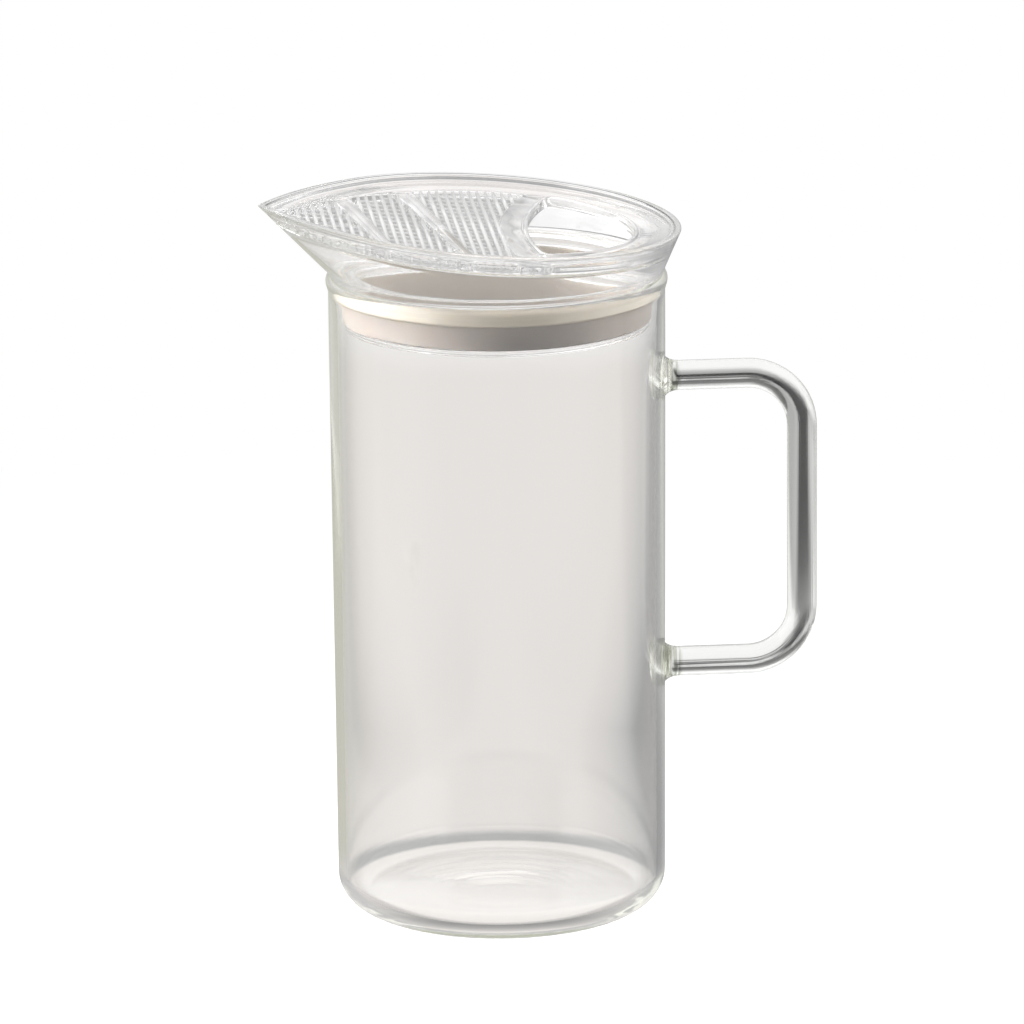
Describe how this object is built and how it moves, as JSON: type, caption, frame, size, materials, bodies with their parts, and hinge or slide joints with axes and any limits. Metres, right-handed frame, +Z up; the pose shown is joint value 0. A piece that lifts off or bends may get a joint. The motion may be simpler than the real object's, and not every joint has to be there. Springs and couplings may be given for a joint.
{
  "type": "tea infuser pitcher",
  "caption": "Clear glass pitcher with a glass rod handle and a lift-off clear lid whose leaf-shaped pouring rim holds a strainer plate.",
  "frame": {"origin": "middle of the flat foot, on the axis of the glass body", "axes": "+Z up along the glass body's axis, +X towards the handle, -X towards the spout of the lid"},
  "size_m": [0.1214, 0.0828, 0.1583],
  "materials": {
    "clear_glass": "clear, fire polished",
    "clear_plastic": "clear, polished",
    "silicone": "milky, satin"
  },
  "bodies": {
    "jug": {"glass_body": "clear_glass", "handle_rod": "clear_glass", "upper_weld": "clear_glass", "lower_weld": "clear_glass"},
    "seal": {"gasket": "silicone"},
    "lid": {"lid_funnel": "clear_plastic", "strainer_plate": "clear_plastic"}
  },
  "joints": [
    {"name": "lid_lift", "type": "slide", "parent": "jug", "child": "seal", "axis": [0, 0, 1], "range_m": [0, 0.05]},
    {"name": "lid_turn", "type": "hinge", "parent": "seal", "child": "lid", "pos_m": [0, 0, 0.137], "axis": [0, 0, 1], "continuous": true}
  ]
}
